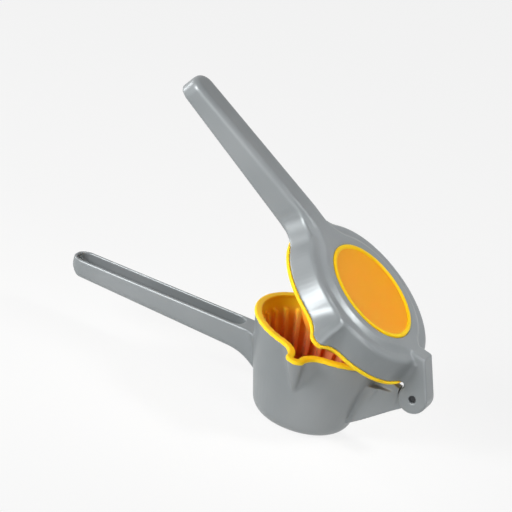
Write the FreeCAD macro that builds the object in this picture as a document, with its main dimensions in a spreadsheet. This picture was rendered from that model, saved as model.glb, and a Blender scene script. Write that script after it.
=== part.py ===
"""Hinged lemon squeezer: two die-cast arms on one pin, nylon cup and press liners, round top pad.

Frame: origin under the middle of the cup's rim, at the height of the cup's flat underside, +Z up,
+X towards the hinge, and the spout on the -Y side.  The handles point to -X.  All sizes are
millimetres.  The squeezer is drawn held open, with its upper arm turned up by open_angle about
the hinge pin.
"""
import FreeCAD, Part
import Sketcher
import math
import os

from FreeCAD import Placement, Rotation, Vector

os.makedirs("parts", exist_ok=True)

doc = FreeCAD.newDocument("LemonSqueezer")
sheet = doc.addObject("Spreadsheet::Sheet", "Sizes")

SIZES = (
    # Hinge and pose
    ("pin_reach", 59.6),
    ("pin_height", 38.3),
    ("open_angle", 33.6),
    ("pin_dia", 4.0),
    ("pin_recess", 1.6),
    ("pin_chamfer", 0.3),
    ("pin_press_gap", 0.02),
    ("pin_run_gap", 0.05),
    ("sleeve_wall", 1.0),
    ("lug_width", 5.0),
    ("lug_radius", 6.0),
    ("washer_thickness", 0.7),
    ("washer_radius", 5.2),
    ("washer_gap", 0.1),
    ("ear_thickness", 3.2),
    ("ear_radius", 8.4),
    ("ear_wrap_angle", 40.0),
    ("ear_top_back", 13.0),
    ("ear_top_height", 20.2),
    ("ear_front_reach", 8.0),
    ("ear_root_sink", 3.0),
    ("ear_edge_round", 1.2),
    ("lip_gap", 0.3),
    ("web_clearance", 0.5),
    ("slot_start_angle", 182.0),
    ("slot_end_angle", 10.0),
    ("slot_reach", 14.0),
    ("slot_drop", 20.0),
    ("cut_over", 6.0),
    # Cup casting
    ("rim_radius", 39.5),
    ("rim_height", 52.3),
    ("rim_tilt", 5.0),
    ("cup_base_radius", 26.2),
    ("cup_edge_round", 10.0),
    ("cup_inner_round", 5.0),
    ("cup_wall", 2.0),
    ("cup_floor", 3.0),
    ("spout_turn", 3.5),
    ("spout_reach", 15.0),
    ("spout_nose", 4.8),
    ("spout_fillet", 13.0),
    ("spout_drop", 25.0),
    ("spout_fade", 0.15),
    ("spout_fade_nose", 4.0),
    # Cup liner
    ("liner_wall", 1.4),
    ("liner_floor", 2.0),
    ("lip_height", 2.1),
    ("lip_overhang", 0.5),
    ("lip_round", 0.9),
    ("fin_count", 24),
    ("fin_height", 3.2),
    ("fin_thickness", 2.6),
    ("fin_drop", 5.0),
    ("fin_inner_radius", 9.0),
    ("fin_toe_height", 1.6),
    ("fin_bend_out", 3.8),
    ("fin_bend_rise", 4.8),
    ("fin_bend_in", 7.7),
    ("fin_bend_low", 1.9),
    ("fin_spout_gap", 22.0),
    # Lower handle
    ("lower_tip_reach", 150.4),
    ("lower_handle_top", 40.1),
    ("lower_handle_width", 16.6),
    ("lower_tip_depth", 10.8),
    ("lower_root_depth", 14.6),
    ("lower_tip_cut", 7.0),
    ("lower_tip_round", 7.4),
    ("lower_edge_round", 3.6),
    ("lower_neck_round", 12.0),
    ("lower_neck_foot", 21.7),
    ("lower_neck_foot_round", 5.0),
    ("lower_neck_foot_width", 8.6),
    ("channel_wall", 1.8),
    ("channel_depth", 7.6),
    ("channel_gap_to_cup", 5.5),
    ("root_sink", 6.0),
    ("buttress_corner", 41.0),
    ("buttress_foot", 11.7),
    ("buttress_round", 28.0),
    # Hinge arm of the lower casting
    ("arm_root_bottom", 10.7),
    ("arm_root_reach", 28.8),
    ("arm_root_width", 15.0),
    ("arm_taper_start", 36.0),
    ("arm_deck_drop", 1.6),
    ("arm_ear_gap", 0.8),
    ("arm_neck_round", 7.0),
    ("arm_neck_foot", 17.7),
    ("arm_neck_foot_round", 3.0),
    ("arm_belly", 1.4),
    ("stop_rib_top", 1.9),
    ("stop_rib_end", 50.4),
    ("stop_rib_run", 6.0),
    ("stop_rib_rise", 1.6),
    ("stop_rib_width", 6.0),
    # Head of the upper casting
    ("head_radius", 48.2),
    ("shoulder_radius", 44.4),
    ("shoulder_height", 15.6),
    ("shoulder_round", 2.4),
    ("head_wall", 2.0),
    ("head_plate", 2.9),
    ("prow_reach", 11.0),
    ("prow_nose", 4.6),
    ("prow_fillet", 16.0),
    ("prow_top_reach", 3.0),
    ("collar_radius", 35.0),
    ("collar_flare", 5.0),
    ("collar_height", 17.5),
    ("collar_sink", 1.0),
    # Press liner
    ("press_lip_height", 2.0),
    ("press_lip_overhang", 0.5),
    ("press_skin", 1.3),
    ("dome_radius", 29.0),
    ("dome_depth", 25.0),
    ("dome_wall", 2.2),
    # Top pad and its screws
    ("pad_radius", 29.8),
    ("pad_gap", 0.05),
    ("pad_seat_depth", 2.5),
    ("pad_proud", 0.5),
    ("pad_ring_width", 2.5),
    ("pad_ring_round", 0.9),
    ("pad_centre_drop", 0.9),
    ("pad_dish", 0.7),
    ("screw_count", 3),
    ("screw_circle", 19.0),
    ("screw_dia", 3.0),
    ("screw_head_dia", 5.6),
    ("screw_head_depth", 1.6),
    ("screw_length", 11.0),
    ("screw_gap", 0.05),
    ("screw_boss_radius", 3.4),
    ("screw_slot_length", 2.2),
    ("screw_slot_width", 0.7),
    ("screw_slot_depth", 1.1),
    # Upper handle
    ("upper_tip_reach", 209.6),
    ("upper_handle_bottom", 1.4),
    ("upper_tip_top", 12.4),
    ("upper_root_top", 17.5),
    ("upper_handle_width", 17.6),
    ("upper_tip_round", 7.6),
    ("upper_edge_round", 3.4),
    ("upper_channel_roof", 2.4),
    ("neck_round", 20.0),
    ("paddle_round", 24.0),
    ("paddle_draw", 3.0),
    ("paddle_end", 56.0),
    ("neck_top_drop", 1.0),
    ("neck_inside", 8.0),
    ("ear_neck_round", 8.0),
    ("ear_paddle_round", 14.0),
    ("ear_neck_inset", 1.0),
)

for row, (name, value) in enumerate(SIZES, start=1):
    sheet.set("A%d" % row, name)
    sheet.set("B%d" % row, str(value))
    sheet.setAlias("B%d" % row, name)
doc.recompute()


class Dim:
    """A length that keeps both its number and the sheet expression that it comes from."""

    def __init__(self, value, text):
        self.value = value
        self.text = text

    def join(self, other, sign, value):
        other = as_dim(other)
        return Dim(value, "(%s %s %s)" % (self.text, sign, other.text))

    def __add__(self, other):
        return self.join(other, "+", self.value + as_dim(other).value)

    def __sub__(self, other):
        return self.join(other, "-", self.value - as_dim(other).value)

    def __mul__(self, other):
        return self.join(other, "*", self.value * as_dim(other).value)

    def __truediv__(self, other):
        return self.join(other, "/", self.value / as_dim(other).value)

    def __neg__(self):
        return Dim(-self.value, "(0 - %s)" % self.text)


def as_dim(number):
    return number if isinstance(number, Dim) else Dim(float(number), "%.6f" % number)


def size(name):
    """The plain number of a driving size."""
    return float(getattr(sheet, name))


def dim(name):
    """A driving size, for a sketch or a feature that stays bound to the sheet."""
    return Dim(size(name), "Sizes.%s" % name)


def trig(function, angle):
    """Sine or cosine of a Dim in degrees."""
    value = getattr(math, function)(math.radians(angle.value))
    return Dim(value, "%s(%s * 1deg)" % (function, angle.text))


ZERO = Dim(0.0, "0")


# Sketch and feature helpers

def new_body(label):
    body = doc.addObject("PartDesign::Body", label)
    body.Label = label
    return body


def new_sketch(body, role, offset=None):
    """A sketch on one of the body's own origin planes, moved along the plane's normal."""
    sketch = body.newObject("Sketcher::SketchObject", "Sketch")
    plane = next(item for item in body.Origin.OriginFeatures if item.Role == role)
    sketch.AttachmentSupport = [(plane, "")]
    sketch.MapMode = "FlatFace"
    if offset is not None:
        sketch.setExpression(".AttachmentOffset.Base.z", offset.text)
    return sketch


def tie(sketch, kind, number, *place):
    """Adds a measured constraint and binds it to the sheet."""
    index = sketch.addConstraint(Sketcher.Constraint(kind, *place, number.value))
    sketch.setExpression("Constraints[%d]" % index, number.text)


def draw_polygon(sketch, points):
    """A closed outline of straight lines whose corners are tied to their places."""
    places = [(as_dim(across), as_dim(along)) for across, along in points]
    vectors = [Vector(across.value, along.value, 0) for across, along in places]
    lines = []
    for index, start in enumerate(vectors):
        end = vectors[(index + 1) % len(vectors)]
        lines.append(sketch.addGeometry(Part.LineSegment(start, end)))
    for index, line in enumerate(lines):
        following = lines[(index + 1) % len(lines)]
        sketch.addConstraint(Sketcher.Constraint("Coincident", line, 2, following, 1))
    for line, (across, along) in zip(lines, places):
        tie(sketch, "DistanceX", across, -1, 1, line, 1)
        tie(sketch, "DistanceY", along, -1, 1, line, 1)


def draw_circle(sketch, across, along, radius):
    across, along, radius = as_dim(across), as_dim(along), as_dim(radius)
    centre = Vector(across.value, along.value, 0)
    circle = sketch.addGeometry(Part.Circle(centre, Vector(0, 0, 1), radius.value))
    tie(sketch, "DistanceX", across, -1, 1, circle, 3)
    tie(sketch, "DistanceY", along, -1, 1, circle, 3)
    tie(sketch, "Radius", radius, circle)


def draw_rounded_box(sketch, left, right, half_width, radius):
    """A rectangle about the sketch's horizontal axis whose four corners are round."""
    low, high = -half_width.value, half_width.value
    near, far = left.value, right.value
    bend = radius.value
    up = Vector(0, 0, 1)
    lines = [
        Part.LineSegment(Vector(near + bend, low, 0), Vector(far - bend, low, 0)),
        Part.LineSegment(Vector(far, low + bend, 0), Vector(far, high - bend, 0)),
        Part.LineSegment(Vector(far - bend, high, 0), Vector(near + bend, high, 0)),
        Part.LineSegment(Vector(near, high - bend, 0), Vector(near, low + bend, 0)),
    ]
    centres = ((far - bend, low + bend), (far - bend, high - bend), (near + bend, high - bend),
               (near + bend, low + bend))
    sides = [sketch.addGeometry(line) for line in lines]
    corners = []
    for index, (across, along) in enumerate(centres):
        circle = Part.Circle(Vector(across, along, 0), up, bend)
        start = math.radians(-90.0 + 90.0 * index)
        corners.append(sketch.addGeometry(Part.ArcOfCircle(circle, start, start + math.pi / 2)))
    for index, corner in enumerate(corners):
        sketch.addConstraint(Sketcher.Constraint("Tangent", sides[index], 2, corner, 1))
        sketch.addConstraint(Sketcher.Constraint("Tangent", corner, 2, sides[(index + 1) % 4], 1))
        tie(sketch, "Radius", radius, corner)
    for index, kind in enumerate(("Horizontal", "Vertical", "Horizontal", "Vertical")):
        sketch.addConstraint(Sketcher.Constraint(kind, sides[index]))
    tie(sketch, "DistanceY", -half_width, -1, 1, sides[0], 1)
    tie(sketch, "DistanceX", right, -1, 1, sides[1], 1)
    tie(sketch, "DistanceY", half_width, -1, 1, sides[2], 1)
    tie(sketch, "DistanceX", left, -1, 1, sides[3], 1)


def add_pad(body, sketch, length):
    """A pad with half of its length on each side of the sketch."""
    pad = body.newObject("PartDesign::Pad", "Pad")
    pad.Profile = sketch
    pad.Midplane = True
    pad.setExpression("Length", length.text)
    doc.recompute()
    return pad


def add_pocket(body, sketch, length):
    """A cut with half of its length on each side of the sketch."""
    pocket = body.newObject("PartDesign::Pocket", "Pocket")
    pocket.Profile = sketch
    pocket.Midplane = True
    pocket.setExpression("Length", length.text)
    doc.recompute()
    return pocket


def add_revolution(body, sketch):
    """The sketch turned once round its own vertical axis."""
    turn = body.newObject("PartDesign::Revolution", "Revolution")
    turn.Profile = sketch
    turn.ReferenceAxis = (sketch, ["V_Axis"])
    turn.Angle = 360
    doc.recompute()
    return turn


def add_dressing(body, kind, base, radius, chosen):
    """A fillet or chamfer on the edges of base whose middle and ends pass the test."""
    names = []
    for index, edge in enumerate(base.Shape.Edges, start=1):
        if chosen(edge):
            names.append("Edge%d" % index)
    dressing = body.newObject("PartDesign::%s" % kind, kind)
    dressing.Base = (base, names)
    dressing.setExpression("Radius" if kind == "Fillet" else "Size", radius.text)
    doc.recompute()
    return dressing


def is_vertical(edge):
    tangent = edge.tangentAt(edge.FirstParameter)
    return edge.Curve.TypeId == "Part::GeomLine" and abs(tangent.z) > 0.99


def lies_at(edge, **limits):
    """True when the edge's box lies at the given places, such as x=3.0 or above=1.0."""
    box = edge.BoundBox
    near = 0.05
    for name, limit in limits.items():
        low = getattr(box, name[0].upper() + "Min")
        high = getattr(box, name[0].upper() + "Max")
        if name.endswith("_over"):
            if low < limit - near:
                return False
        elif name.endswith("_under"):
            if high > limit + near:
                return False
        elif abs(low - limit) > near or abs(high - limit) > near:
            return False
    return True


def new_feature(label, shape):
    feature = doc.addObject("Part::Feature", label)
    feature.Label = label
    feature.Shape = shape
    return feature


def new_union(label, items):
    union = doc.addObject("Part::MultiFuse", label)
    union.Label = label
    union.Shapes = items
    union.Refine = True
    doc.recompute()
    return union


def new_cut(label, base, tool):
    cut = doc.addObject("Part::Cut", label)
    cut.Label = label
    cut.Base = base
    cut.Tool = tool
    cut.Refine = True
    doc.recompute()
    return cut


# Round outline with a pouring spout

def spout_direction():
    angle = math.radians(-90.0 + size("spout_turn"))
    return Vector(math.cos(angle), math.sin(angle), 0)


def spout_outline(radius, reach, nose, fillet, inset, height):
    """Closed wire: a circle of the given radius with one rounded spout.

    reach is how far the spout stands out of the circle, nose its end radius and fillet the
    hollow radius on both sides.  inset draws the whole outline inwards by that much.
    """
    towards = spout_direction()
    across = Vector(-towards.y, towards.x, 0)
    nose_distance = radius + reach - nose
    to_fillet = radius + fillet
    nose_to_fillet = nose + fillet
    cosine = (to_fillet ** 2 + nose_distance ** 2 - nose_to_fillet ** 2) / (2 * to_fillet * nose_distance)
    sine = math.sqrt(max(0.0, 1.0 - cosine ** 2))
    nose_centre = towards * nose_distance
    lift = Vector(0, 0, height)

    def side(sign):
        fillet_centre = (towards * cosine + across * sine * sign) * to_fillet
        on_circle = fillet_centre * ((radius - inset) / to_fillet)
        spoke = (fillet_centre - nose_centre) * (1.0 / nose_to_fillet)
        on_nose = nose_centre + spoke * (nose - inset)
        middle = (on_circle + on_nose) * 0.5 - fillet_centre
        middle = fillet_centre + middle * ((fillet + inset) / middle.Length)
        return on_circle, middle, on_nose

    right_circle, right_middle, right_nose = side(1)
    left_circle, left_middle, left_nose = side(-1)
    back = towards * (inset - radius)
    tip = nose_centre + towards * (nose - inset)
    arcs = (
        (right_circle, back, left_circle),
        (left_circle, left_middle, left_nose),
        (left_nose, tip, right_nose),
        (right_nose, right_middle, right_circle),
    )
    edges = [Part.Arc(*[point + lift for point in arc]).toShape() for arc in arcs]
    return Part.Wire(edges)


def loft(wires):
    return Part.makeLoft(wires, True, True)


# Cup of the lower casting and its liner

RIM_PLACE = Placement(Vector(0, 0, size("rim_height")), Rotation(Vector(0, 1, 0), size("rim_tilt")))


def cup_radius_at(height):
    share = height / size("rim_height")
    return size("cup_base_radius") + (size("rim_radius") - size("cup_base_radius")) * share


def rim_outline(inset, height):
    """The rim's outline in the rim's own tilted plane, height above it."""
    wire = spout_outline(size("rim_radius"), size("spout_reach"), size("spout_nose"),
                         size("spout_fillet"), inset, height)
    return wire.transformed(RIM_PLACE.toMatrix())


def cup_solid(inset, bottom, above=0.0):
    """The tapered cup with its spout, drawn in by inset and starting at the height bottom."""
    fade_height = size("rim_height") - size("spout_drop")
    fade_wire = spout_outline(cup_radius_at(fade_height), size("spout_fade"), size("spout_fade_nose"),
                              size("spout_fillet"), inset, fade_height)
    upper = loft([fade_wire, rim_outline(inset, 0.0)])
    cone = Part.makeCone(cup_radius_at(bottom) - inset, cup_radius_at(fade_height) - inset,
                         fade_height - bottom, Vector(0, 0, bottom))
    edge_round = max(size("cup_edge_round") - inset, size("cup_inner_round"))
    foot = [edge for edge in cone.Edges if lies_at(edge, z=bottom)]
    cone = cone.makeFillet(edge_round, foot)
    solid = cone.fuse(upper)
    if above > 0:
        mouth = loft([rim_outline(inset, 0.0), rim_outline(inset, above)])
        solid = solid.fuse(mouth)
    return solid.removeSplitter()


def liner_fin(angle, inner_inset, floor):
    """One upright fin of the cup liner, standing on its wall and floor."""
    lean = math.radians(angle)
    wall = cup_radius_at(floor) - inner_inset
    top_radius = size("rim_radius") - inner_inset
    top = size("rim_height") - top_radius * math.cos(lean) * math.tan(math.radians(size("rim_tilt")))
    top -= size("fin_drop")
    into = size("liner_wall") / 2
    foot_round = max(size("cup_edge_round") - inner_inset, size("cup_inner_round"))
    outline = (
        (cup_radius_at(top) - inner_inset + into, top),
        (cup_radius_at(top) - inner_inset - size("fin_height"), top),
        (wall - size("fin_bend_out"), floor + size("fin_bend_rise")),
        (wall - size("fin_bend_in"), floor + size("fin_bend_low")),
        (size("fin_inner_radius"), floor + size("fin_toe_height")),
        (size("fin_inner_radius"), floor - into),
        (wall + into - foot_round, floor - into),
        (cup_radius_at(floor + foot_round) - inner_inset + into, floor + foot_round),
    )
    outward = Vector(math.cos(lean), math.sin(lean), 0)
    sideways = Vector(-math.sin(lean), math.cos(lean), 0) * size("fin_thickness")
    points = [Vector(0, 0, height) + outward * radius - sideways / 2 for radius, height in outline]
    face = Part.Face(Part.makePolygon(points + points[:1]))
    return face.extrude(sideways)


def make_cup_liner():
    outer_inset = size("cup_wall")
    inner_inset = outer_inset + size("liner_wall")
    floor = size("cup_floor") + size("liner_floor")
    shell = cup_solid(outer_inset, size("cup_floor"))
    overhang = -size("lip_overhang")
    lip = loft([rim_outline(overhang, 0.0), rim_outline(overhang, size("lip_height"))])
    upper_face = max(lip.Faces, key=lambda face: face.CenterOfMass.z)
    lip = lip.makeFillet(size("lip_round"), upper_face.Edges)
    body = shell.fuse(lip)
    hollow = cup_solid(inner_inset, floor, size("lip_height") + size("cut_over"))
    body = body.cut(hollow)
    fins = []
    for index in range(int(size("fin_count"))):
        angle = 360.0 * index / size("fin_count")
        from_spout = abs((angle - 270.0 - size("spout_turn") + 180.0) % 360.0 - 180.0)
        if from_spout > size("fin_spout_gap"):
            fins.append(liner_fin(angle, inner_inset, floor))
    return body.fuse(fins).removeSplitter()


def make_lower_handle():
    """Open channel handle with its buttress under the cup."""
    body = new_body("LowerHandle")
    sketch = new_sketch(body, "XZ_Plane")
    top = dim("lower_handle_top")
    tip = -dim("lower_tip_reach")
    inside = dim("root_sink") - dim("cup_base_radius")
    corner = -dim("buttress_corner")
    draw_polygon(sketch, (
        (tip, top),
        (tip, top - dim("lower_tip_depth") + dim("lower_tip_cut")),
        (tip + dim("lower_tip_cut"), top - dim("lower_tip_depth")),
        (corner, top - dim("lower_root_depth")),
        (inside, dim("buttress_foot")),
        (inside, top),
    ))
    pad = add_pad(body, sketch, dim("lower_handle_width"))
    tip_x = -size("lower_tip_reach")
    bottom = size("lower_handle_top") - size("lower_tip_depth") + size("lower_tip_cut")
    ends = add_dressing(body, "Fillet", pad, dim("lower_tip_round"),
                        lambda edge: is_vertical(edge) and lies_at(edge, x=tip_x, z_over=bottom))
    hollow_z = size("lower_handle_top") - size("lower_root_depth")
    hollow = add_dressing(body, "Fillet", ends, dim("buttress_round"),
                          lambda edge: lies_at(edge, x=-size("buttress_corner"), z=hollow_z))
    half = size("lower_handle_width") / 2

    def is_under_edge(edge):
        box = edge.BoundBox
        on_side = abs(abs(box.YMin) - half) < 0.01 and abs(box.YMax - box.YMin) < 0.01
        return on_side and box.ZMax < size("lower_handle_top") - 1.0 and box.XLength > 1.0

    add_dressing(body, "Fillet", hollow, dim("lower_edge_round"), is_under_edge)
    body.Tip = body.Group[-1]
    doc.recompute()
    return body


def make_lower_channel():
    """The room in the lower handle, open at the top, with a toe that follows the cut tip."""
    body = new_body("LowerChannel")
    top = dim("lower_handle_top")
    tip = -dim("lower_tip_reach")
    wall = dim("channel_wall")
    inner = dim("lower_handle_width") / 2 - wall
    root = -(dim("rim_radius") + dim("channel_gap_to_cup"))
    plan = new_sketch(body, "XY_Plane", top)
    draw_rounded_box(plan, tip + wall, root, inner, dim("lower_tip_round") - wall)
    add_pad(body, plan, dim("channel_depth") * 2)
    cut = dim("lower_tip_cut")
    across = wall * math.sqrt(2.0)
    below = top - dim("lower_tip_depth")
    toe = new_sketch(body, "XZ_Plane")
    draw_polygon(toe, (
        (tip + across - cut, below + cut * 2),
        (tip + across + cut, below),
        (tip + across - cut, below),
    ))
    add_pocket(body, toe, dim("lower_handle_width") * 2)
    body.Tip = body.Group[-1]
    doc.recompute()
    return body


def arm_neck(foot_width, foot_round, foot, top_width, top_round, top, to_hinge):
    """Hollow-cornered neck between the cup and an arm, from the height foot to the height top."""
    wires = []
    for width, corner, height in ((foot_width, foot_round, foot), (top_width, top_round, top)):
        wire = neck_outline(cup_radius_at(height), width / 2, corner, height)
        if to_hinge:
            wire = wire.mirror(Vector(0, 0, 0), Vector(1, 0, 0))
        wires.append(wire)
    return loft(wires)


def make_hinge_arm():
    """Arm from the cup to the hinge lug, wide at the cup and narrow between the ears."""
    body = new_body("HingeArm")
    pin_x = dim("pin_reach")
    pin_z = dim("pin_height")
    deck = pin_z - dim("arm_deck_drop")
    inside = dim("cup_base_radius") - dim("root_sink")
    sketch = new_sketch(body, "XZ_Plane")
    draw_polygon(sketch, (
        (inside, deck),
        (pin_x, deck),
        (pin_x, pin_z - dim("lug_radius")),
        (pin_x - dim("lug_radius") / 2, pin_z - dim("lug_radius") - dim("arm_belly")),
        (dim("arm_root_reach"), dim("arm_root_bottom")),
        (inside, dim("arm_root_bottom")),
    ))
    pad = add_pad(body, sketch, dim("arm_root_width"))
    neck_x = pin_x - dim("ear_radius") - dim("arm_ear_gap")
    narrow = dim("lug_width") / 2
    wide = dim("arm_root_width")
    sides = new_sketch(body, "XY_Plane", pin_z)
    for sign in (1.0, -1.0):
        draw_polygon(sides, (
            (dim("arm_taper_start"), dim("arm_root_width") / 2 * sign),
            (neck_x, narrow * sign),
            (pin_x + dim("lug_radius"), narrow * sign),
            (pin_x + dim("lug_radius"), wide * sign),
            (dim("arm_taper_start"), wide * sign),
        ))
    add_pocket(body, sides, pin_z * 2)
    rib_end = dim("stop_rib_end")
    rib_top = pin_z + dim("stop_rib_top")
    rib = new_sketch(body, "XZ_Plane")
    draw_polygon(rib, (
        (inside, deck - dim("lug_radius")),
        (rib_end, deck - dim("lug_radius")),
        (rib_end, rib_top),
        (rib_end - dim("stop_rib_run"), rib_top + dim("stop_rib_rise")),
        (inside, rib_top + dim("stop_rib_rise")),
    ))
    add_pad(body, rib, dim("stop_rib_width"))
    lug = new_sketch(body, "XZ_Plane")
    draw_circle(lug, pin_x, pin_z, dim("lug_radius"))
    add_pad(body, lug, dim("lug_width"))
    bore = new_sketch(body, "XZ_Plane")
    draw_circle(bore, pin_x, pin_z, dim("pin_dia") / 2 + dim("pin_run_gap") + dim("sleeve_wall"))
    add_pocket(body, bore, dim("arm_root_width"))
    body.Tip = body.Group[-1]
    doc.recompute()
    return body


def make_lower_arm():
    """The lower casting: cup, handle and hinge arm in one piece."""
    cup = new_feature("CupOutside", cup_solid(0.0, 0.0))
    hollow = new_feature("CupInside", cup_solid(size("cup_wall"), size("cup_floor"), size("cut_over")))
    handle_neck = new_feature("HandleNeck", arm_neck(
        size("lower_neck_foot_width"), size("lower_neck_foot_round"), size("lower_neck_foot"),
        size("lower_handle_width"), size("lower_neck_round"), size("lower_handle_top"), False))
    deck = size("pin_height") - size("arm_deck_drop")
    hinge_neck = new_feature("HingeNeck", arm_neck(
        size("arm_root_width"), size("arm_neck_foot_round"), size("arm_neck_foot"),
        size("arm_root_width"), size("arm_neck_round"), deck, True))
    union = new_union("LowerArmSolid", [cup, make_lower_handle(), make_hinge_arm(), handle_neck, hinge_neck])
    room = new_union("LowerArmRoom", [hollow, make_lower_channel()])
    return new_cut("lower_arm", union, room)


# Head of the upper casting, drawn about its own axis with the pin at +pin_reach

def clevis_width():
    each_side = dim("washer_thickness") + dim("washer_gap") + dim("ear_thickness")
    return dim("lug_width") + each_side * 2


def open_upper(item):
    """Turns an item of the upper arm open about the pin, from the head's frame to the squeezer's."""
    turn = Rotation(Vector(0, 1, 0), size("open_angle"))
    pin = Vector(size("pin_reach"), 0, size("pin_height"))
    item.Placement = Placement(pin - turn.multVec(Vector(size("pin_reach"), 0, 0)), turn)
    angle = dim("open_angle")
    reach = dim("pin_reach")
    item.setExpression(".Placement.Base.x", (reach - reach * trig("cos", angle)).text)
    item.setExpression(".Placement.Base.z", (dim("pin_height") + reach * trig("sin", angle)).text)
    item.setExpression(".Placement.Rotation.Angle", angle.text)
    return item


def head_share(height):
    return (height - size("press_lip_height")) / (size("shoulder_height") - size("press_lip_height"))


def head_outline(inset, height):
    share = head_share(height)
    radius = size("head_radius") + (size("shoulder_radius") - size("head_radius")) * share
    reach = size("prow_reach") + (size("prow_top_reach") - size("prow_reach")) * share
    return spout_outline(radius, reach, size("prow_nose"), size("prow_fillet"), inset, height)


def head_solid(inset, low, high):
    return loft([head_outline(inset, low), head_outline(inset, high)])


def neck_outline(radius, half_width, fillet, height):
    """Wire that joins a circle to a handle of the given half width with hollow corners."""
    across = half_width + fillet
    along = -math.sqrt((radius + fillet) ** 2 - across ** 2)
    share = radius / (radius + fillet)
    root = along * share + size("neck_inside")

    def side(sign):
        on_circle = Vector(along * share, across * share * sign, height)
        on_handle = Vector(along, half_width * sign, height)
        centre = Vector(along, across * sign, height)
        spoke = (on_circle + on_handle) * 0.5 - centre
        middle = centre + spoke * (fillet / spoke.Length)
        return on_circle, middle, on_handle

    far_circle, far_middle, far_handle = side(1)
    near_circle, near_middle, near_handle = side(-1)
    inside_far = Vector(root, far_circle.y, height)
    inside_near = Vector(root, near_circle.y, height)
    return Part.Wire([
        Part.Arc(far_circle, far_middle, far_handle).toShape(),
        Part.LineSegment(far_handle, near_handle).toShape(),
        Part.Arc(near_handle, near_middle, near_circle).toShape(),
        Part.LineSegment(near_circle, inside_near).toShape(),
        Part.LineSegment(inside_near, inside_far).toShape(),
        Part.LineSegment(inside_far, far_circle).toShape(),
    ])


def make_head_outside():
    """Drum with its prow-shaped spout, raised collar and the hollow corners to the handle."""
    low = size("press_lip_height")
    top = size("shoulder_height")
    drum = head_solid(0.0, low, top)
    upper_face = max(drum.Faces, key=lambda face: face.CenterOfMass.z)
    drum = drum.makeFillet(size("shoulder_round"), upper_face.Edges)
    wide = size("collar_radius") + size("collar_flare")
    foot = top - size("collar_sink")
    collar = Part.makeCone(wide, size("collar_radius"), size("collar_height") - foot, Vector(0, 0, foot))
    neck_top = top - size("neck_top_drop")
    slope = size("head_radius") - size("shoulder_radius")
    neck_radius = size("head_radius") - slope * head_share(neck_top)
    handle_half = size("upper_handle_width") / 2
    ear_half = clevis_width().value / 2 - size("ear_neck_inset")
    necks = []
    for half, round_low, round_top in ((handle_half, "neck_round", "paddle_round"),
                                       (ear_half, "ear_neck_round", "ear_paddle_round")):
        necks.append(loft([
            neck_outline(size("head_radius"), half, size(round_low), low),
            neck_outline(neck_radius, half, size(round_low), neck_top),
        ]))
        necks.append(loft([
            neck_outline(wide, half, size(round_top), foot),
            neck_outline(size("collar_radius"), half - size("paddle_draw"), size(round_top),
                         size("collar_height")),
        ]))
    necks[2:] = [neck.mirror(Vector(0, 0, 0), Vector(1, 0, 0)) for neck in necks[2:]]
    return drum.fuse([collar] + necks).removeSplitter()


def make_head_inside():
    """What is cut from the head: the liner's room, the pad's seat and the screw holes."""
    low = size("press_lip_height")
    room = head_solid(size("head_wall"), low, size("shoulder_height") - size("head_plate"))
    skirt = head_solid(size("head_wall"), low - size("cut_over"), low)
    seat_z = size("collar_height") - size("pad_seat_depth")
    seat = Part.makeCylinder(size("pad_radius") + size("pad_gap"),
                             size("pad_seat_depth") + size("cut_over"), Vector(0, 0, seat_z))
    holes = [screw_solid(place, size("screw_gap"), False) for place in screw_places()]
    return room.fuse([skirt, seat] + holes)


def make_upper_handle():
    """Handle with a round-edged roof and an open channel underneath."""
    body = new_body("UpperHandle")
    tip = dim("pin_reach") - dim("upper_tip_reach")
    low = dim("upper_handle_bottom")
    inside = -dim("collar_radius")
    above_lip = dim("press_lip_height") + dim("lip_gap")
    lip_end = -(dim("head_radius") + dim("press_lip_overhang") + dim("lip_gap"))
    sketch = new_sketch(body, "XZ_Plane")
    draw_polygon(sketch, (
        (tip, low),
        (tip, dim("upper_tip_top")),
        (-dim("paddle_end"), dim("upper_root_top")),
        (inside, dim("upper_root_top")),
        (inside, above_lip),
        (lip_end, above_lip),
        (lip_end, low),
    ))
    pad = add_pad(body, sketch, dim("upper_handle_width"))
    ends = add_dressing(body, "Fillet", pad, dim("upper_tip_round"),
                        lambda edge: is_vertical(edge) and lies_at(edge, x=tip.value))
    roof_z = size("upper_tip_top") - 0.5

    def is_roof_edge(edge):
        box = edge.BoundBox
        return box.ZMin > roof_z and box.XMin < inside.value - 1.0 and box.XMax < inside.value + 0.1 \
            and not is_vertical(edge) and box.XLength > 0.5

    add_dressing(body, "Fillet", ends, dim("upper_edge_round"), is_roof_edge)
    body.Tip = body.Group[-1]
    doc.recompute()
    return body


def make_upper_channel():
    """The room under the upper handle's roof."""
    body = new_body("UpperChannel")
    tip = dim("pin_reach") - dim("upper_tip_reach")
    wall = dim("channel_wall")
    inner = dim("upper_handle_width") / 2 - wall
    root = -(dim("head_radius") + dim("channel_gap_to_cup"))
    roof = dim("upper_channel_roof")
    plan = new_sketch(body, "XY_Plane")
    draw_rounded_box(plan, tip + wall, root, inner, dim("upper_tip_round") - wall)
    add_pad(body, plan, dim("upper_root_top") * 2)
    above = new_sketch(body, "XZ_Plane")
    draw_polygon(above, (
        (tip, dim("upper_tip_top") - roof),
        (ZERO, dim("upper_root_top") - roof),
        (ZERO, dim("upper_root_top") * 2),
        (tip, dim("upper_root_top") * 2),
    ))
    add_pocket(body, above, dim("upper_handle_width") * 2)
    body.Tip = body.Group[-1]
    doc.recompute()
    return body


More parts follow.
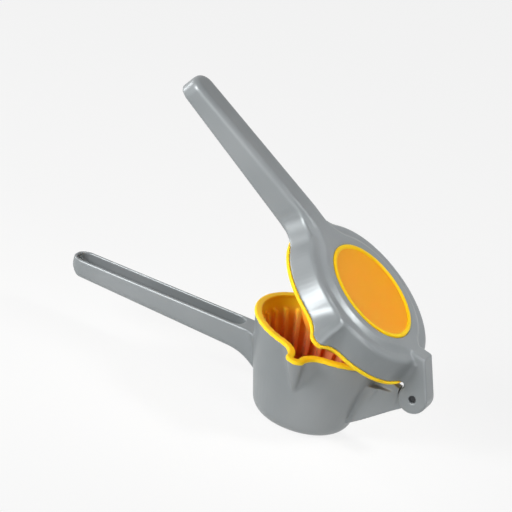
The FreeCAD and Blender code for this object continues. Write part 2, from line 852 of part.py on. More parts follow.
def make_clevis():
    """Two ears and the web round the back that hold the pin and take the lug between them."""
    body = new_body("Clevis")
    pin_x = dim("pin_reach")
    radius = dim("ear_radius")
    width = clevis_width()
    angle = dim("ear_wrap_angle")
    back_x = pin_x - dim("ear_top_back")
    tangent_x = pin_x + radius * trig("sin", angle)
    tangent_z = radius * trig("cos", angle)
    gap = dim("lip_gap")
    foot = dim("press_lip_height") + gap
    inside_x = dim("shoulder_radius") - dim("head_wall")
    sketch = new_sketch(body, "XZ_Plane")
    draw_polygon(sketch, (
        (tangent_x, tangent_z),
        (back_x, dim("ear_top_height")),
        (inside_x - dim("ear_root_sink"), dim("collar_height")),
        (inside_x - dim("ear_root_sink"), dim("shoulder_height") - dim("head_plate") / 2),
        (inside_x, foot),
        (dim("head_radius") + dim("press_lip_overhang") + gap, foot),
        (pin_x - dim("ear_front_reach"), ZERO),
        (pin_x, ZERO),
    ))
    add_pad(body, sketch, width)
    eye = new_sketch(body, "XZ_Plane")
    draw_circle(eye, pin_x, ZERO, radius)
    ears = add_pad(body, eye, width)
    half = width.value / 2
    add_dressing(body, "Fillet", ears, dim("ear_edge_round"),
                 lambda edge: lies_at(edge, y=half) or lies_at(edge, y=-half))
    body.Tip = body.Group[-1]
    doc.recompute()
    return body


def make_clevis_room():
    """The slot between the ears that takes the lug, and the bore for the pin."""
    body = new_body("ClevisRoom")
    pin_x = dim("pin_reach")
    slot_width = clevis_width() - dim("ear_thickness") * 2
    room = new_sketch(body, "XZ_Plane")
    draw_circle(room, pin_x, ZERO, dim("lug_radius") + dim("web_clearance"))
    add_pad(body, room, slot_width)
    start = dim("slot_start_angle")
    stop = -dim("slot_end_angle")
    far = dim("slot_reach")
    down = -dim("slot_drop")
    mouth = new_sketch(body, "XZ_Plane")
    draw_polygon(mouth, (
        (pin_x, ZERO),
        (pin_x + far * trig("cos", start), far * trig("sin", start)),
        (pin_x - far, down),
        (pin_x + far * trig("cos", stop), down),
        (pin_x + far * trig("cos", stop), far * trig("sin", stop)),
    ))
    add_pad(body, mouth, slot_width)
    bore = new_sketch(body, "XZ_Plane")
    draw_circle(bore, pin_x, ZERO, dim("pin_dia") / 2 + dim("pin_press_gap"))
    add_pad(body, bore, clevis_width() * 2)
    body.Tip = body.Group[-1]
    doc.recompute()
    return body


def make_upper_arm():
    """The upper casting: head, handle and hinge clevis in one piece."""
    head = new_feature("HeadOutside", make_head_outside())
    hollow = new_feature("HeadInside", make_head_inside())
    union = new_union("UpperArmSolid", [head, make_upper_handle(), make_clevis()])
    room = new_union("UpperArmRoom", [hollow, make_upper_channel(), make_clevis_room()])
    return open_upper(new_cut("upper_arm", union, room))


# Press liner, screws and pad

def screw_places():
    count = int(size("screw_count"))
    angles = [math.radians(90.0 + 360.0 * index / count) for index in range(count)]
    radius = size("screw_circle")
    seat_z = size("collar_height") - size("pad_seat_depth")
    return [Vector(radius * math.cos(angle), radius * math.sin(angle), seat_z) for angle in angles]


def screw_solid(place, gap, with_drive):
    """A countersunk screw pointing down from place; gap widens it for its hole."""
    head = size("screw_head_dia") / 2 + gap
    shank = size("screw_dia") / 2 + gap
    depth = size("screw_head_depth")
    outline = (
        Vector(0, 0, 0),
        Vector(head, 0, 0),
        Vector(shank, 0, -depth),
        Vector(shank, 0, -size("screw_length")),
        Vector(0, 0, -size("screw_length")),
    )
    face = Part.Face(Part.makePolygon(list(outline) + [outline[0]]))
    screw = face.revolve(Vector(0, 0, 0), Vector(0, 0, 1), 360)
    if with_drive:
        long, wide, deep = size("screw_slot_length"), size("screw_slot_width"), size("screw_slot_depth")
        slots = [Part.makeBox(long, wide, deep, Vector(-long / 2, -wide / 2, -deep)),
                 Part.makeBox(wide, long, deep, Vector(-wide / 2, -long / 2, -deep))]
        screw = screw.cut(slots)
    screw.translate(place)
    return screw


def make_pad_screws():
    return Part.makeCompound([screw_solid(place, 0.0, True) for place in screw_places()])


def dome_profile(inset):
    """Half section of the press dome, from the liner's roof down to its tip."""
    radius = size("dome_radius") - inset
    roof = size("shoulder_height") - size("head_plate")
    depth = size("dome_depth")
    ball = (size("dome_radius") ** 2 + depth ** 2) / (2 * depth)
    centre = ball - depth
    ball -= inset
    side = math.sqrt(ball ** 2 - radius ** 2)
    knee = Vector(radius, 0, centre - side)
    swing = math.atan2(radius, side) / 2
    middle = Vector(ball * math.sin(swing), 0, centre - ball * math.cos(swing))
    tip = Vector(0, 0, centre - ball)
    edges = [
        Part.LineSegment(Vector(0, 0, roof), Vector(radius, 0, roof)).toShape(),
        Part.LineSegment(Vector(radius, 0, roof), knee).toShape(),
        Part.Arc(knee, middle, tip).toShape(),
        Part.LineSegment(tip, Vector(0, 0, roof)).toShape(),
    ]
    return Part.Face(Part.Wire(edges))


def make_press_liner():
    """Lip, skirt lining and hollow press dome, moulded in one piece."""
    axis = (Vector(0, 0, 0), Vector(0, 0, 1), 360)
    lip_top = size("press_lip_height")
    roof = size("shoulder_height") - size("head_plate")
    skin = size("head_wall") + size("press_skin")
    lip = head_solid(-size("press_lip_overhang"), 0.0, lip_top)
    lower_face = min(lip.Faces, key=lambda face: face.CenterOfMass.z)
    lip = lip.makeFillet(size("lip_round"), lower_face.Edges)
    lining = head_solid(size("head_wall"), lip_top, roof)
    groove = head_solid(skin, -size("cut_over"), roof - size("press_skin"))
    cap = lip.fuse(lining).cut(groove)
    dome = dome_profile(0.0).revolve(*axis)
    hollow = dome_profile(size("dome_wall")).revolve(*axis)
    liner = cap.fuse(dome).cut(hollow)
    bosses = []
    for place in screw_places():
        boss = Part.makeCylinder(size("screw_boss_radius"), roof + size("dome_depth"),
                                 Vector(place.x, place.y, -size("dome_depth")))
        bosses.append(boss.common(dome))
    liner = liner.fuse(bosses)
    holes = [screw_solid(place, 0.0, False) for place in screw_places()]
    return liner.cut(holes).removeSplitter()


def make_pad_ring():
    """Raised ring that frames the pad and stands a little proud of the collar."""
    body = new_body("pad_ring")
    seat = dim("collar_height") - dim("pad_seat_depth")
    top = dim("collar_height") + dim("pad_proud")
    outer = dim("pad_radius")
    inner = outer - dim("pad_ring_width")
    sketch = new_sketch(body, "XZ_Plane")
    draw_polygon(sketch, ((inner, seat), (outer, seat), (outer, top), (inner, top)))
    turn = add_revolution(body, sketch)
    add_dressing(body, "Fillet", turn, dim("pad_ring_round"), lambda edge: lies_at(edge, z=top.value))
    body.Tip = body.Group[-1]
    return body


def make_pad_inlay():
    """Dished middle of the pad, inside the ring."""
    radius = size("pad_radius") - size("pad_ring_width")
    seat = size("collar_height") - size("pad_seat_depth")
    edge_top = size("collar_height") + size("pad_proud") - size("pad_centre_drop")
    ball = (radius ** 2 + size("pad_dish") ** 2) / (2 * size("pad_dish"))
    disc = Part.makeCylinder(radius, edge_top - seat, Vector(0, 0, seat))
    return disc.cut(Part.makeSphere(ball, Vector(0, 0, edge_top - size("pad_dish") + ball)))


# Hinge hardware, drawn round the pin's axis

def move_to_pin(item):
    """Moves an item drawn about the origin to the pin's middle."""
    item.setExpression(".Placement.Base.x", dim("pin_reach").text)
    item.setExpression(".Placement.Base.z", dim("pin_height").text)
    return item


def make_pin():
    body = new_body("hinge_pin")
    sketch = new_sketch(body, "XZ_Plane")
    draw_circle(sketch, ZERO, ZERO, dim("pin_dia") / 2)
    pad = add_pad(body, sketch, clevis_width() - dim("pin_recess") * 2)
    add_dressing(body, "Chamfer", pad, dim("pin_chamfer"),
                 lambda edge: edge.Curve.TypeId == "Part::GeomCircle")
    body.Tip = body.Group[-1]
    return move_to_pin(body)


def make_ring(label, outer, inner, length, offset):
    """A plain ring round the pin; offset moves its middle along the pin."""
    body = new_body(label)
    sketch = new_sketch(body, "XZ_Plane", offset)
    draw_circle(sketch, ZERO, ZERO, outer)
    draw_circle(sketch, ZERO, ZERO, inner)
    add_pad(body, sketch, length)
    body.Tip = body.Group[-1]
    return move_to_pin(body)


BORE = dim("pin_dia") / 2 + dim("pin_run_gap")
WASHER_OFFSET = (dim("lug_width") + dim("washer_thickness")) / 2

nodes = [
    make_lower_arm(),
    new_feature("cup_liner", make_cup_liner()),
    make_upper_arm(),
    open_upper(new_feature("press_liner", make_press_liner())),
    open_upper(make_pad_ring()),
    open_upper(new_feature("pad_inlay", make_pad_inlay())),
    open_upper(new_feature("pad_screws", make_pad_screws())),
    make_pin(),
    make_ring("lug_sleeve", BORE + dim("sleeve_wall"), BORE, dim("lug_width"), ZERO),
    make_ring("washer_near", dim("washer_radius"), BORE, dim("washer_thickness"), WASHER_OFFSET),
    make_ring("washer_far", dim("washer_radius"), BORE, dim("washer_thickness"), -WASHER_OFFSET),
]
doc.recompute()

for item in doc.Objects:
    if "Invalid" in item.State or "Error" in item.State:
        raise RuntimeError("%s failed: %s" % (item.Label, item.State))

for node in nodes:
    if node.Shape.isNull() or not node.Shape.isValid():
        raise RuntimeError("%s has no valid shape" % node.Label)
    node.Shape.exportStep("parts/%s.step" % node.Label)
    print("%-12s solids %d volume %.0f" % (node.Label, len(node.Shape.Solids), node.Shape.Volume))
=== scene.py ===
"""Hinged lemon squeezer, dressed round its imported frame.

Two die-cast arms in satin grey paint turn on one pin. The cup and the press head are lined with
moulded yellow nylon, and a round pad sits on top of the head. All lengths are metres unless a
name says otherwise.
"""

import logging
from dataclasses import dataclass, field
from enum import Enum
from math import cos, radians, sin
from typing import Any, Optional

import bpy
from mathutils import Matrix, Vector


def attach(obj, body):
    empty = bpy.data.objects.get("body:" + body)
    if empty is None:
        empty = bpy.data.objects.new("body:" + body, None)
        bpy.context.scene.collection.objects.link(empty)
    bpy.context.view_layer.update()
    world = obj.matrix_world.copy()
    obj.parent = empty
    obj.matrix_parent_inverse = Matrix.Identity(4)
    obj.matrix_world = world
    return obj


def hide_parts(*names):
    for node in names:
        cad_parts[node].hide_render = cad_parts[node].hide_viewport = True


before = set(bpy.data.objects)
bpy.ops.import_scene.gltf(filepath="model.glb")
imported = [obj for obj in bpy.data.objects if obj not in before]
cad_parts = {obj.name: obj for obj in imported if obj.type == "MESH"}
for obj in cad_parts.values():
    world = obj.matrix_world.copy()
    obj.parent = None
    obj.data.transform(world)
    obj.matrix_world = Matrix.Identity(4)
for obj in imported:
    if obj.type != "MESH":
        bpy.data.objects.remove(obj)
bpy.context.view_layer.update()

log = logging.getLogger("squeezer")

MM = 0.001

# The bend of sRGB's curve, from its definition.
SRGB_KNEE = 0.04045
SRGB_SLOPE = 12.92
SRGB_OFFSET = 0.055
SRGB_POWER = 2.4

# A ring pattern of scale 1 repeats about every 0.3 units.
RING_PERIOD = 0.3


class Body(Enum):
    """The two bodies of the frame."""

    LOWER = "lower"
    UPPER = "upper"


class Slot(Enum):
    """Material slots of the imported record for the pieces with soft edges."""

    PAINTED_CASTING = "painted_casting"
    YELLOW_NYLON = "yellow_nylon"


def to_linear(code: str, alpha: float = 1.0) -> tuple[float, float, float, float]:
    """Turns an sRGB hex colour into linear light.

    Args:
        code: The colour as #RRGGBB.
        alpha: Opacity that goes with it.

    Returns:
        Red, green, blue and alpha.
    """
    shares = [int(code[place:place + 2], 16) / 255.0 for place in (1, 3, 5)]
    linear = [share / SRGB_SLOPE if share <= SRGB_KNEE
              else ((share + SRGB_OFFSET) / (1.0 + SRGB_OFFSET)) ** SRGB_POWER
              for share in shares]
    return (linear[0], linear[1], linear[2], alpha)


def add_node(tree: bpy.types.NodeTree, kind: str, settings: Optional[dict[str, Any]] = None,
             links: Optional[dict[str, bpy.types.NodeSocket]] = None) -> bpy.types.Node:
    """Adds one node.

    Args:
        tree: The node tree that gets it.
        kind: The node's Blender type name.
        settings: Socket names, or attribute names after a dot, with their values.
        links: Input socket names with the output sockets that feed them.

    Returns:
        The new node.
    """
    node = tree.nodes.new(kind)
    for name, value in (settings or {}).items():
        if name.startswith("."):
            setattr(node, name[1:], value)
        else:
            key = int(name) if name.isdigit() else name
            node.inputs[key].default_value = value
    for name, source in (links or {}).items():
        key = int(name) if name.isdigit() else name
        tree.links.new(source, node.inputs[key])
    return node


def add_noise(tree: bpy.types.NodeTree, place: bpy.types.NodeSocket, size_mm: float,
              detail: float = 2.0) -> bpy.types.NodeSocket:
    """Adds a noise pattern.

    Args:
        tree: The node tree that gets it.
        place: The socket with the point on the piece.
        size_mm: Size of one blotch in millimetres.
        detail: Levels of finer noise inside a blotch.

    Returns:
        The socket with the pattern, from 0 to 1.
    """
    noise = add_node(tree, "ShaderNodeTexNoise",
                     {"Scale": 1.0 / (size_mm * MM), "Detail": detail}, {"Vector": place})
    return noise.outputs["Fac"]


def add_bump(tree: bpy.types.NodeTree, height: bpy.types.NodeSocket, strength: float,
             depth_mm: float) -> bpy.types.NodeSocket:
    """Adds the fine relief of a finish.

    Args:
        tree: The node tree that gets it.
        height: The socket with the relief's pattern.
        strength: Share of the relief that shows.
        depth_mm: Depth of the whole relief in millimetres.

    Returns:
        The socket with the bent normal.
    """
    bump = add_node(tree, "ShaderNodeBump", {"Strength": strength, "Distance": depth_mm * MM},
                    {"Height": height})
    return bump.outputs["Normal"]


def add_spread(tree: bpy.types.NodeTree, pattern: bpy.types.NodeSocket, low: float,
               high: float) -> bpy.types.NodeSocket:
    """Spreads a pattern from 0 to 1 over another range.

    Args:
        tree: The node tree that gets the node.
        pattern: The socket with the pattern.
        low: The result where the pattern is 0.
        high: The result where the pattern is 1.

    Returns:
        The socket with the result.
    """
    spread = add_node(tree, "ShaderNodeMapRange", {"To Min": low, "To Max": high},
                      {"Value": pattern})
    return spread.outputs["Result"]


def add_ramp(tree: bpy.types.NodeTree, share: bpy.types.NodeSocket,
             stops: list[tuple[float, str]]) -> bpy.types.NodeSocket:
    """Adds a colour ramp.

    Args:
        tree: The node tree that gets it.
        share: The socket that picks the place on the ramp.
        stops: Place from 0 to 1 and sRGB hex colour of each stop, in order.

    Returns:
        The socket with the colour.
    """
    ramp = add_node(tree, "ShaderNodeValToRGB", {}, {"Fac": share})
    elements = ramp.color_ramp.elements
    while len(elements) < len(stops):
        elements.new(1.0)
    for element, (place, code) in zip(elements, stops):
        element.position = place
        element.color = to_linear(code)
    return ramp.outputs["Color"]


def add_white_share(tree: bpy.types.NodeTree, share: float) -> bpy.types.NodeSocket:
    """How much white the camera, a reflection or a see-through piece finds in the backdrop.

    Args:
        tree: The node tree that gets the nodes.
        share: The most white, from 0 to 1.

    Returns:
        The socket that holds the share.
    """
    path = add_node(tree, "ShaderNodeLightPath")
    most = path.outputs["Is Camera Ray"]
    for name in ("Is Glossy Ray", "Is Transmission Ray"):
        larger = add_node(tree, "ShaderNodeMath", {".operation": "MAXIMUM"},
                          {"0": most, "1": path.outputs[name]})
        most = larger.outputs["Value"]
    scaled = add_node(tree, "ShaderNodeMath", {".operation": "MULTIPLY", "1": share}, {"0": most})
    return scaled.outputs["Value"]


def start_material(name: str) -> tuple[bpy.types.Material, bpy.types.NodeTree,
                                       bpy.types.NodeSocket]:
    """Makes a node material that holds only the point on the piece.

    Args:
        name: The material's name.

    Returns:
        The material, its node tree and the socket with the point.
    """
    material = bpy.data.materials.new(name)
    material.use_nodes = True
    tree = material.node_tree
    tree.nodes.clear()
    return material, tree, add_node(tree, "ShaderNodeTexCoord").outputs["Object"]


def close_material(tree: bpy.types.NodeTree, shader: bpy.types.Node) -> None:
    """Feeds the shader to the material's output."""
    add_node(tree, "ShaderNodeOutputMaterial", {}, {"Surface": shader.outputs[0]})


@dataclass(frozen=True)
class SatinCastingPaint:
    """Satin metallic powder paint on die-cast aluminium.

    The casting is tumbled before it is painted, so its edges are soft and the film lies over
    them evenly. The film holds fine metal flake: it shades like a half-rough metal, with a
    faint orange peel. Its colour is painted lighter along the convex edges: a painted highlight.
    """

    base: str = "#8E9294"
    shade: str = "#84898B"
    edge_highlight: str = "#AEB2B4"
    metallic: float = 0.30
    specular: float = 0.4
    roughness_low: float = 0.34
    roughness_high: float = 0.42
    cloud_mm: float = 45.0
    shade_place: float = 0.35
    base_place: float = 0.65
    edge_highlight_from: float = 0.52
    edge_highlight_to: float = 0.60
    edge_highlight_most: float = 0.25
    peel_mm: float = 1.6
    flake_mm: float = 0.5
    flake_share: float = 0.25
    relief: float = 0.06
    relief_mm: float = 0.2

    def build(self) -> bpy.types.Material:
        """Builds the node material.

        Returns:
            The material.
        """
        material, tree, place = start_material("satin_casting_paint")
        cloud = add_noise(tree, place, self.cloud_mm)
        tone = add_ramp(tree, cloud, [(self.shade_place, self.shade),
                                      (self.base_place, self.base)])
        # Convex edges, found from the mesh's pointiness, are painted lighter: a painted highlight.
        bend = add_node(tree, "ShaderNodeNewGeometry").outputs["Pointiness"]
        edge_highlight_share = add_node(tree, "ShaderNodeMapRange",
                              {"From Min": self.edge_highlight_from, "From Max": self.edge_highlight_to,
                               "To Min": 0.0, "To Max": self.edge_highlight_most}, {"Value": bend})
        colour = add_node(tree, "ShaderNodeMix", {".data_type": "RGBA", "B": to_linear(self.edge_highlight)},
                          {"Factor": edge_highlight_share.outputs["Result"], "A": tone})
        flake = add_noise(tree, place, self.flake_mm, detail=1.0)
        peel = add_noise(tree, place, self.peel_mm, detail=1.0)
        height = add_node(tree, "ShaderNodeMath",
                          {".operation": "MULTIPLY_ADD", "1": self.flake_share},
                          {"0": flake, "2": peel})
        paint = add_node(tree, "ShaderNodeBsdfPrincipled",
                         {"Metallic": self.metallic, "Specular IOR Level": self.specular},
                         {"Base Color": colour.outputs["Result"],
                          "Normal": add_bump(tree, height.outputs["Value"], self.relief,
                                             self.relief_mm),
                          "Roughness": add_spread(tree, cloud, self.roughness_low,
                                                  self.roughness_high)})
        close_material(tree, paint)
        return material


@dataclass(frozen=True)
class MouldedNylon:
    """Injection-moulded dyed nylon, satin from the mould's fine texture.

    The lip is bright yellow, and the colour goes to orange and red-brown further in: painted
    shade, deeper inside the liner. The depth runs along an axis that leans lean_deg from
    upright, to the hinge. depth_start is the lip's place along it.
    """

    name: str
    lip: str
    middle: str
    deep_shade: str
    depth_start: float
    depth_end: float
    lean_deg: float = 0.0
    middle_share: float = 0.35
    roughness: float = 0.42
    roughness_swing: float = 0.05
    specular: float = 0.08
    refraction: float = 1.53
    glow_share: float = 0.2
    glow_mm: float = 3.0
    cloud_mm: float = 14.0
    cloud_reach_mm: float = 1.5
    grain_mm: float = 0.9
    relief: float = 0.05
    relief_mm: float = 0.2

    def build(self) -> bpy.types.Material:
        """Builds the node material.

        Returns:
            The material.
        """
        material, tree, place = start_material(self.name)
        lean = radians(self.lean_deg)
        along = add_node(tree, "ShaderNodeVectorMath",
                         {".operation": "DOT_PRODUCT", "1": (sin(lean), 0.0, cos(lean))},
                         {"0": place})
        cloud = add_noise(tree, place, self.cloud_mm)
        shift = add_node(tree, "ShaderNodeMath",
                         {".operation": "MULTIPLY_ADD", "1": self.cloud_reach_mm * MM},
                         {"0": cloud, "2": along.outputs["Value"]})
        share = add_node(tree, "ShaderNodeMapRange",
                         {"From Min": self.depth_start, "From Max": self.depth_end},
                         {"Value": shift.outputs["Value"]})
        # The colour darkens with depth along the axis: painted shade inside the liner.
        tone = add_ramp(tree, share.outputs["Result"],
                        [(0.0, self.lip), (self.middle_share, self.middle), (1.0, self.deep_shade)])
        grain = add_noise(tree, place, self.grain_mm)
        nylon = add_node(tree, "ShaderNodeBsdfPrincipled",
                         {"IOR": self.refraction, "Specular IOR Level": self.specular,
                          "Subsurface Weight": self.glow_share,
                          "Subsurface Scale": self.glow_mm * MM},
                         {"Base Color": tone,
                          "Normal": add_bump(tree, grain, self.relief, self.relief_mm),
                          "Roughness": add_spread(tree, cloud,
                                                  self.roughness - self.roughness_swing,
                                                  self.roughness + self.roughness_swing)})
        close_material(tree, nylon)
        return material


@dataclass(frozen=True)
class TurnedSteel:
    """Stainless steel turned on a lathe: fine rings round the axis and a dull shine."""

    base: str = "#4E4F51"
    dark: str = "#2E2F30"
    dark_place: float = 0.2
    base_place: float = 0.8
    roughness: float = 0.38
    ring_mm: float = 0.35
    ring_waver: float = 1.0
    relief: float = 0.1
    relief_mm: float = 0.05

    def build(self) -> bpy.types.Material:
        """Builds the node material.

        Returns:
            The material.
        """
        material, tree, place = start_material("turned_steel")
        rings = add_node(tree, "ShaderNodeTexWave",
                         {".wave_type": "RINGS", ".rings_direction": "Y",
                          "Scale": RING_PERIOD / (self.ring_mm * MM),
                          "Distortion": self.ring_waver}, {"Vector": place})
        tone = add_ramp(tree, rings.outputs["Fac"], [(self.dark_place, self.dark),
                                                     (self.base_place, self.base)])
        steel = add_node(tree, "ShaderNodeBsdfPrincipled",
                         {"Metallic": 1.0, "Roughness": self.roughness},
                         {"Base Color": tone,
                          "Normal": add_bump(tree, rings.outputs["Fac"], self.relief,
                                             self.relief_mm)})
        close_material(tree, steel)
        return material


@dataclass(frozen=True)
class MattePaper:
    """White studio paper under and behind the squeezer.

    The camera sees it most of the way to white, and the lamps' shadow stays on it.
    """

    tone: str = "#F4F4F2"
    whiten: float = 0.85
    roughness: float = 0.9
    fibre_mm: float = 1.11
    relief: float = 0.03
    relief_mm: float = 0.1

    def build(self) -> bpy.types.Material:
        """Builds the node material.

        Returns:
            The material.
        """
        material, tree, place = start_material("studio_paper")
        fibre = add_noise(tree, place, self.fibre_mm)
        paper = add_node(tree, "ShaderNodeBsdfPrincipled",
                         {"Base Color": to_linear(self.tone), "Roughness": self.roughness},
                         {"Normal": add_bump(tree, fibre, self.relief, self.relief_mm)})
        glow = add_node(tree, "ShaderNodeEmission", {"Strength": 1.0})
        mixed = add_node(tree, "ShaderNodeMixShader", {},
                         {"0": add_white_share(tree, self.whiten), "1": paper.outputs[0],
                          "2": glow.outputs[0]})
        close_material(tree, mixed)
        return material


def dress(piece: bpy.types.Object, material: bpy.types.Material) -> None:
    """Puts one material on a whole piece."""
    piece.data.materials.clear()
    piece.data.materials.append(material)


@dataclass
class SoftPiece:
    """One piece whose solid gets the soft edges that its making leaves."""

    node: str
    name: str
    body: Body
    slot: Slot
    voxel_mm: float
    passes: int
    relax_share: float = 0.5

    def soften(self) -> bpy.types.Object:
        """Makes the soft-edged skin from the node's solid, in the node's place.

        The solid is cut into even cells and relaxed. More passes make rounder edges.

        Returns:
            The new piece.
        """
        draft = bpy.data.objects.new(self.name + "_draft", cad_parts[self.node].data.copy())
        bpy.context.scene.collection.objects.link(draft)
        cells = draft.modifiers.new("cells", "REMESH")
        cells.mode = "VOXEL"
        cells.voxel_size = self.voxel_mm * MM
        relax = draft.modifiers.new("relax", "SMOOTH")
        relax.factor = self.relax_share
        relax.iterations = self.passes
        graph = bpy.context.evaluated_depsgraph_get()
        mesh = bpy.data.meshes.new_from_object(draft.evaluated_get(graph))
        mesh.name = self.name
        bpy.data.objects.remove(draft)
        mesh.shade_smooth()
        piece = bpy.data.objects.new(self.name, mesh)
        bpy.context.scene.collection.objects.link(piece)
        return piece

    def build(self, material: bpy.types.Material) -> bpy.types.Object:
        """Builds the skin, dresses it and hangs it on its body.

        Args:
            material: The finish.

        Returns:
            The new piece.
        """
        piece = self.soften()
        dress(piece, material)
        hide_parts(self.node)
        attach(piece, self.body.value)
        log.info("%s: %d faces", piece.name, len(piece.data.polygons))
        return piece


@dataclass
class Casting(SoftPiece):
    """One painted arm, with the soft edges of a tumbled die casting."""

    slot: Slot = Slot.PAINTED_CASTING
    voxel_mm: float = 0.6
    passes: int = 6


@dataclass
class NylonLiner(SoftPiece):
    """One moulded liner with small rounded edges."""

    slot: Slot = Slot.YELLOW_NYLON
    voxel_mm: float = 0.4
    passes: int = 3


@dataclass
class Hardware:
    """Turned, stamped and moulded nodes that keep their CAD mesh and get their finish."""

    nodes: tuple[str, ...]
    split_angle: float = 0.6

    def build(self, material: bpy.types.Material) -> list[bpy.types.Object]:
        """Dresses each node and keeps its sharp edges sharp.

        Args:
            material: The finish of all of them.

        Returns:
            The dressed nodes.
        """
        pieces = [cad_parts[node] for node in self.nodes]
        for piece in pieces:
            dress(piece, material)
            piece.data.shade_smooth()
            edges = piece.modifiers.new("edges", "EDGE_SPLIT")
            edges.split_angle = self.split_angle
            log.info("%s dressed", piece.name)
        return pieces


@dataclass
class Lamp:
    """One soft area lamp. A narrow spread, in radians, keeps its light on the aim."""

    name: str
    place: Vector
    aim: Vector
    width: float
    height: float
    power: float
    spread: float = 3.14

    def build(self) -> bpy.types.Object:
        """Hangs the lamp and turns it to its aim.

        Returns:
            The lamp.
        """
        data = bpy.data.lights.new(self.name, "AREA")
        data.shape = "RECTANGLE"
        data.size = self.width
        data.size_y = self.height
        data.energy = self.power
        data.spread = self.spread
        lamp = bpy.data.objects.new(self.name, data)
        lamp.location = self.place
        lamp.visible_camera = False
        lamp.rotation_euler = (self.aim - self.place).to_track_quat("-Z", "Y").to_euler()
        bpy.context.scene.collection.objects.link(lamp)
        return lamp


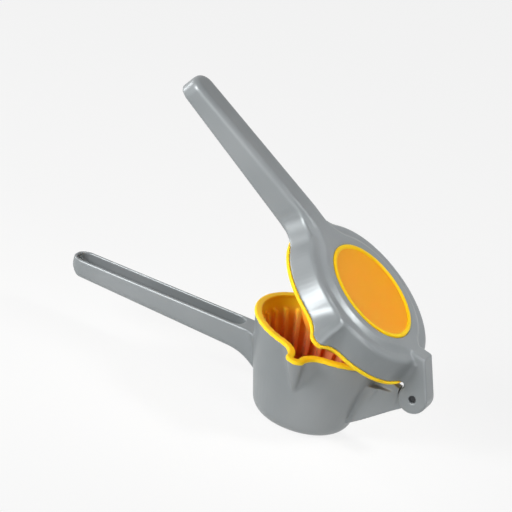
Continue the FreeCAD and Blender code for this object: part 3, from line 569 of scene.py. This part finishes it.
@dataclass
class Studio:
    """Pale floor, soft lamps and the camera at the photograph's angle."""

    floor_size: float = 12.0
    world_tone: str = "#F2F4F6"
    world_strength: float = 0.13
    lens_mm: float = 224.8
    sensor_mm: float = 36.0
    far_clip: float = 50.0
    camera_place: Vector = field(default_factory=lambda: Vector((0.4342, -1.5477, 0.7125)))
    camera_right: Vector = field(default_factory=lambda: Vector((0.88911, 0.38124, 0.25326)))
    camera_up: Vector = field(default_factory=lambda: Vector((-0.36396, 0.25338, 0.89629)))
    camera_back: Vector = field(default_factory=lambda: Vector((0.27753, -0.88907, 0.36404)))

    def lay_floor(self) -> bpy.types.Object:
        """Lays the paper that the squeezer stands on.

        Returns:
            The floor.
        """
        half = self.floor_size / 2
        corners = [(-half, -half, 0.0), (half, -half, 0.0), (half, half, 0.0), (-half, half, 0.0)]
        mesh = bpy.data.meshes.new("floor")
        mesh.from_pydata(corners, [], [(0, 1, 2, 3)])
        floor = bpy.data.objects.new("floor", mesh)
        bpy.context.scene.collection.objects.link(floor)
        dress(floor, MattePaper().build())
        return floor

    def light_world(self) -> None:
        """Fills the room with even light, and shows white to the camera."""
        world = bpy.data.worlds.new("studio")
        bpy.context.scene.world = world
        world.use_nodes = True
        tree = world.node_tree
        tree.nodes.clear()
        fill = add_node(tree, "ShaderNodeBackground",
                        {"Color": to_linear(self.world_tone), "Strength": self.world_strength})
        white = add_node(tree, "ShaderNodeBackground", {"Strength": 1.0, "Color": (1, 1, 1, 1)})
        mixed = add_node(tree, "ShaderNodeMixShader", {},
                         {"0": add_white_share(tree, 1.0), "1": fill.outputs[0],
                          "2": white.outputs[0]})
        add_node(tree, "ShaderNodeOutputWorld", {}, {"Surface": mixed.outputs[0]})

    def hang_lamps(self) -> list[bpy.types.Object]:
        """Hangs the lamps round the squeezer.

        Returns:
            The lamps.
        """
        middle = Vector((-0.02, 0.0, 0.06))
        lamps = [
            Lamp("key", place=Vector((-0.42, -0.75, 0.48)), aim=Vector((-0.08, 0.0, 0.14)),
                 width=0.34, height=0.42, power=1.05, spread=1.0),
            Lamp("side", place=Vector((1.0, -0.65, 0.30)), aim=middle,
                 width=0.35, height=0.7, power=3.0),
            Lamp("left_strip", place=Vector((-1.10, 0.05, 0.17)), aim=middle,
                 width=0.22, height=0.6, power=5.0),
            Lamp("top", place=Vector((0.42, 0.08, 0.60)), aim=Vector((0.04, 0.0, 0.08)),
                 width=0.15, height=0.15, power=0.07, spread=0.45),
        ]
        return [lamp.build() for lamp in lamps]

    def place_camera(self) -> bpy.types.Object:
        """Sets up the photograph's viewpoint.

        Returns:
            The camera.
        """
        data = bpy.data.cameras.new("photo_camera")
        data.sensor_width = self.sensor_mm
        data.lens = self.lens_mm
        data.clip_end = self.far_clip
        camera = bpy.data.objects.new("photo_camera", data)
        turn = Matrix((self.camera_right, self.camera_up, self.camera_back)).transposed()
        camera.matrix_world = Matrix.Translation(self.camera_place) @ turn.to_4x4()
        bpy.context.scene.collection.objects.link(camera)
        bpy.context.scene.camera = camera
        return camera

    def build(self) -> None:
        """Builds the whole studio."""
        self.lay_floor()
        self.light_world()
        self.hang_lamps()
        self.place_camera()
        bpy.context.scene.view_settings.view_transform = "Standard"


# The liners' colour deepens from the lip inwards: painted shade inside the cup and the press.
# The pad and the washers are nearly even.
CUP_NYLON = MouldedNylon("cup_nylon", lip="#FFD52A", middle="#FFB858", deep_shade="#FA9C68",
                         depth_start=0.0500, depth_end=0.0300, lean_deg=5.0)
PRESS_NYLON = MouldedNylon("press_nylon", lip="#FFD52A", middle="#FBAA30", deep_shade="#EC8840",
                           depth_start=0.0608, depth_end=0.0358, lean_deg=33.6)
# The pad's ring and inlay go a little darker lower down: slight painted shade.
RING_NYLON = MouldedNylon("pad_ring_nylon", lip="#FACB16", middle="#FACB16", deep_shade="#F0B810",
                          depth_start=0.11, depth_end=0.0)
INLAY_NYLON = MouldedNylon("pad_inlay_nylon", lip="#FAA61C", middle="#F8A21A", deep_shade="#F69C18",
                           depth_start=0.11, depth_end=0.05)
# The washers are dark olive-brown and go darker lower down as painted shade.
WASHER_NYLON = MouldedNylon("washer_nylon", lip="#5A4A22", middle="#4A3C1C", deep_shade="#3A3018",
                            depth_start=0.05, depth_end=0.0)


def main() -> None:
    """Dresses the squeezer piece by piece and sets the studio round it."""
    logging.basicConfig(level=logging.INFO, format="%(name)s: %(message)s")
    Studio().build()
    paint = SatinCastingPaint().build()
    Casting("lower_arm", "lower_casting", Body.LOWER).build(paint)
    Casting("upper_arm", "upper_casting", Body.UPPER).build(paint)
    NylonLiner("cup_liner", "cup_lining", Body.LOWER).build(CUP_NYLON.build())
    NylonLiner("press_liner", "press_lining", Body.UPPER).build(PRESS_NYLON.build())
    Hardware(("pad_ring",)).build(RING_NYLON.build())
    Hardware(("pad_inlay",)).build(INLAY_NYLON.build())
    Hardware(("hinge_pin", "pad_screws")).build(TurnedSteel().build())
    Hardware(("lug_sleeve", "washer_near", "washer_far")).build(WASHER_NYLON.build())


if __name__ == "__main__":
    main()
